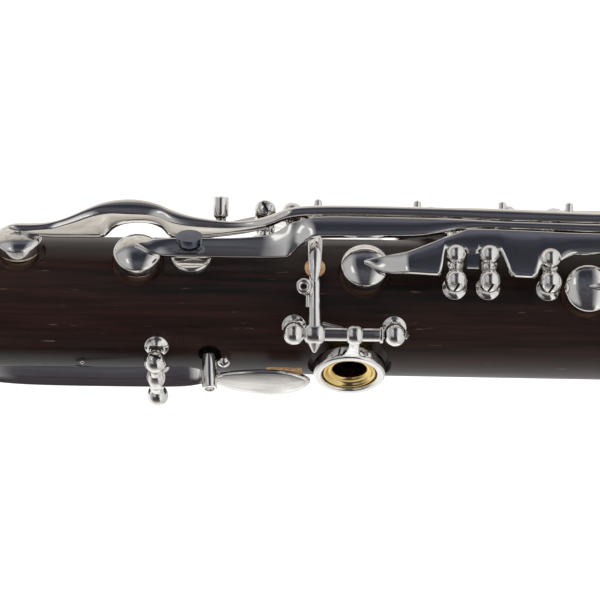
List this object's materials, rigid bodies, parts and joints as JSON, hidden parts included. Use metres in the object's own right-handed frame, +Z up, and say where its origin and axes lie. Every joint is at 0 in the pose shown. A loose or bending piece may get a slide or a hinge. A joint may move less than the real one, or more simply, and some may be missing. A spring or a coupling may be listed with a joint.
{
  "type": "clarinet",
  "caption": "Wooden soprano clarinet with plated keys, ring keys, mouthpiece, reed, ligature, barrel, two joints and a bell, standing upright on its bell.",
  "frame": {"origin": "centre of the underside of the bell rim", "axes": "+Z up along the bore from bell to mouthpiece; -Y front, with the finger holes; +Y back, with the thumb hole; -X the side keys, on the player's right"},
  "size_m": [0.08, 0.08, 0.665],
  "materials": {
    "grenadilla": "oiled black hardwood with fine brown grain",
    "ebonite": "polished hard rubber",
    "silver": "polished silver plate",
    "brass": "polished",
    "cane": "scraped cane",
    "felt": "skin over felt",
    "steel": "turned"
  },
  "bodies": {
    "clarinet": {"barrel": "grenadilla", "barrel_lower_ring": "silver", "barrel_upper_ring": "silver", "bell": "grenadilla", "bell_rim_ring": "silver", "bell_socket_ring": "silver", "c_sharp_key_pivot": "silver", "e_flat_key_pivot": "silver", "e_key_pivot": "silver", "f_sharp_key_pivot": "silver", "left_e_lever_pivot": "silver", "left_f_sharp_lever_pivot": "silver", "ligature": "silver", "ligature_screw_lower": "silver", "ligature_screw_upper": "silver", "lower_joint": "grenadilla", "lower_joint_socket_ring": "silver", "lower_ring_key_pivot": "silver", "mouthpiece": "ebonite", "reed": "cane", "register_key_pivot": "silver", "side_key_1_pivot": "silver", "side_key_2_pivot": "silver", "side_key_3_pivot": "silver", "side_key_4_pivot": "silver", "sliver_key_b_pivot": "silver", "sliver_key_e_flat_pivot": "silver", "throat_keys_pivot": "silver", "thumb_rest": "silver", "thumb_ring_hinge_screw": "steel", "thumb_ring_post_lower": "silver", "thumb_ring_post_upper": "silver", "thumb_tube": "brass", "upper_joint": "grenadilla", "upper_ring_keys_pivot": "silver"},
    "register_key": {"register_key": "silver", "register_key_pad": "felt"},
    "thumb_ring_key": {"thumb_ring_key": "silver"},
    "side_key_1": {"side_key_1": "silver", "side_key_1_pad": "felt"},
    "side_key_2": {"side_key_2": "silver", "side_key_2_pad": "felt"},
    "side_key_3": {"side_key_3": "silver", "side_key_3_pad": "felt"},
    "side_key_4": {"side_key_4": "silver", "side_key_4_pad": "felt"},
    "throat_a_key": {"throat_a_key": "silver"},
    "throat_g_sharp_key": {"throat_g_sharp_key": "silver"},
    "upper_ring_key": {"upper_ring_key": "silver"},
    "bridge_ring_key": {"bridge_ring_key": "silver"},
    "sliver_key_e_flat": {"sliver_key_e_flat": "silver"},
    "c_sharp_key": {"c_sharp_key": "silver"},
    "lower_ring_key": {"lower_ring_key": "silver"},
    "sliver_key_b": {"sliver_key_b": "silver"},
    "e_key": {"e_key": "silver"},
    "f_sharp_key": {"f_sharp_key": "silver"},
    "f_key": {"f_key": "silver"},
    "e_flat_key": {"e_flat_key": "silver"},
    "left_e_lever": {"left_e_lever": "silver"},
    "left_f_sharp_lever": {"left_f_sharp_lever": "silver"}
  },
  "joints": [
    {"name": "register_key_hinge", "type": "hinge", "parent": "clarinet", "child": "register_key", "pos_m": [-0.00074, 0.01773, 0.4677], "axis": [-0.9991, -0.0419, 0], "range_deg": [0, 5], "stiffness_Nm_per_rad": 0.05, "springref_deg": -17.19},
    {"name": "thumb_ring_hinge", "type": "hinge", "parent": "clarinet", "child": "thumb_ring_key", "pos_m": [-0.01227, 0.01411, 0.4299], "axis": [0, 0, -1], "range_deg": [0, 4.5], "stiffness_Nm_per_rad": 0.05, "springref_deg": -17.19},
    {"name": "side_key_1_hinge", "type": "hinge", "parent": "clarinet", "child": "side_key_1", "pos_m": [-0.01655, -0.00292, 0.4098], "axis": [0.1736, -0.9848, 0], "range_deg": [0, 1.8], "stiffness_Nm_per_rad": 0.05, "springref_deg": -17.19},
    {"name": "side_key_2_hinge", "type": "hinge", "parent": "clarinet", "child": "side_key_2", "pos_m": [-0.01655, -0.00292, 0.4033], "axis": [0.1736, -0.9848, 0], "range_deg": [0, 2], "stiffness_Nm_per_rad": 0.05, "springref_deg": -17.19},
    {"name": "side_key_3_hinge", "type": "hinge", "parent": "clarinet", "child": "side_key_3", "pos_m": [-0.01655, -0.00292, 0.3916], "axis": [0.1736, -0.9848, 0], "range_deg": [0, 3], "stiffness_Nm_per_rad": 0.05, "springref_deg": -17.19},
    {"name": "side_key_4_hinge", "type": "hinge", "parent": "clarinet", "child": "side_key_4", "pos_m": [-0.01651, 0.00585, 0.361], "axis": [-0.3338, -0.9426, 0], "range_deg": [0, 5], "stiffness_Nm_per_rad": 0.05, "springref_deg": -17.19},
    {"name": "throat_a_hinge", "type": "hinge", "parent": "clarinet", "child": "throat_a_key", "pos_m": [-0.00221, -0.01576, 0.447], "axis": [0.9903, -0.1392, 0], "range_deg": [0, 5], "stiffness_Nm_per_rad": 0.05, "springref_deg": -17.19},
    {"name": "throat_g_sharp_hinge", "type": "hinge", "parent": "clarinet", "child": "throat_g_sharp_key", "pos_m": [-0.00221, -0.01576, 0.447], "axis": [0.9903, -0.1392, 0], "range_deg": [0, 5], "stiffness_Nm_per_rad": 0.05, "springref_deg": -17.19},
    {"name": "upper_ring_hinge", "type": "hinge", "parent": "clarinet", "child": "upper_ring_key", "pos_m": [-0.01177, -0.01453, 0.414], "axis": [0, 0, 1], "range_deg": [0, 3.4], "stiffness_Nm_per_rad": 0.05, "springref_deg": -17.19},
    {"name": "bridge_ring_hinge", "type": "hinge", "parent": "clarinet", "child": "bridge_ring_key", "pos_m": [-0.01177, -0.01453, 0.3895], "axis": [0, 0, 1], "range_deg": [0, 2.3], "stiffness_Nm_per_rad": 0.05, "springref_deg": -17.19},
    {"name": "sliver_e_flat_hinge", "type": "hinge", "parent": "clarinet", "child": "sliver_key_e_flat", "pos_m": [0.0139, -0.01251, 0.372], "axis": [0, 0, -1], "range_deg": [0, 5], "stiffness_Nm_per_rad": 0.05, "springref_deg": -17.19},
    {"name": "c_sharp_hinge", "type": "hinge", "parent": "clarinet", "child": "c_sharp_key", "pos_m": [0.01852, -0.0026, 0.346], "axis": [0, 0, 1], "range_deg": [0, 6], "stiffness_Nm_per_rad": 0.05, "springref_deg": -17.19},
    {"name": "lower_ring_hinge", "type": "hinge", "parent": "clarinet", "child": "lower_ring_key", "pos_m": [-0.01215, -0.015, 0.276], "axis": [0, 0, 1], "range_deg": [0, 2.3], "stiffness_Nm_per_rad": 0.05, "springref_deg": -17.19},
    {"name": "sliver_b_hinge", "type": "hinge", "parent": "clarinet", "child": "sliver_key_b", "pos_m": [0.01434, -0.01291, 0.2595], "axis": [0, 0, -1], "range_deg": [0, 4], "stiffness_Nm_per_rad": 0.05, "springref_deg": -17.19},
    {"name": "e_key_hinge", "type": "hinge", "parent": "clarinet", "child": "e_key", "pos_m": [0.01305, -0.01449, 0.18], "axis": [0, 0, -1], "range_deg": [0, 2.8], "stiffness_Nm_per_rad": 0.05, "springref_deg": -17.19},
    {"name": "f_sharp_key_hinge", "type": "hinge", "parent": "clarinet", "child": "f_sharp_key", "pos_m": [0.01706, -0.00945, 0.193], "axis": [0, 0, -1], "range_deg": [0, 2.4], "stiffness_Nm_per_rad": 0.05, "springref_deg": -17.19},
    {"name": "f_key_hinge", "type": "hinge", "parent": "clarinet", "child": "f_key", "pos_m": [0.01305, -0.01449, 0.2272], "axis": [0, 0, -1], "range_deg": [0, 3], "stiffness_Nm_per_rad": 0.05, "springref_deg": -17.19},
    {"name": "e_flat_key_hinge", "type": "hinge", "parent": "clarinet", "child": "e_flat_key", "pos_m": [-0.01722, 0.00915, 0.196], "axis": [0, 0, 1], "range_deg": [0, 5], "stiffness_Nm_per_rad": 0.05, "springref_deg": -17.19},
    {"name": "left_e_lever_hinge", "type": "hinge", "parent": "clarinet", "child": "left_e_lever", "pos_m": [0.01931, -0.00271, 0.27], "axis": [0, 0, 1], "range_deg": [0, 4], "stiffness_Nm_per_rad": 0.05, "springref_deg": -17.19},
    {"name": "left_f_sharp_lever_hinge", "type": "hinge", "parent": "clarinet", "child": "left_f_sharp_lever", "pos_m": [0.01914, 0.00372, 0.255], "axis": [0, 0, 1], "range_deg": [0, 4], "stiffness_Nm_per_rad": 0.05, "springref_deg": -17.19}
  ],
  "couplings": [
    {"joint": "upper_ring_hinge", "follows": "thumb_ring_hinge", "ratio": 0.75},
    {"joint": "bridge_ring_hinge", "follows": "lower_ring_hinge", "ratio": 1},
    {"joint": "e_key_hinge", "follows": "left_e_lever_hinge", "ratio": 0.7},
    {"joint": "f_sharp_key_hinge", "follows": "left_f_sharp_lever_hinge", "ratio": 0.6}
  ]
}
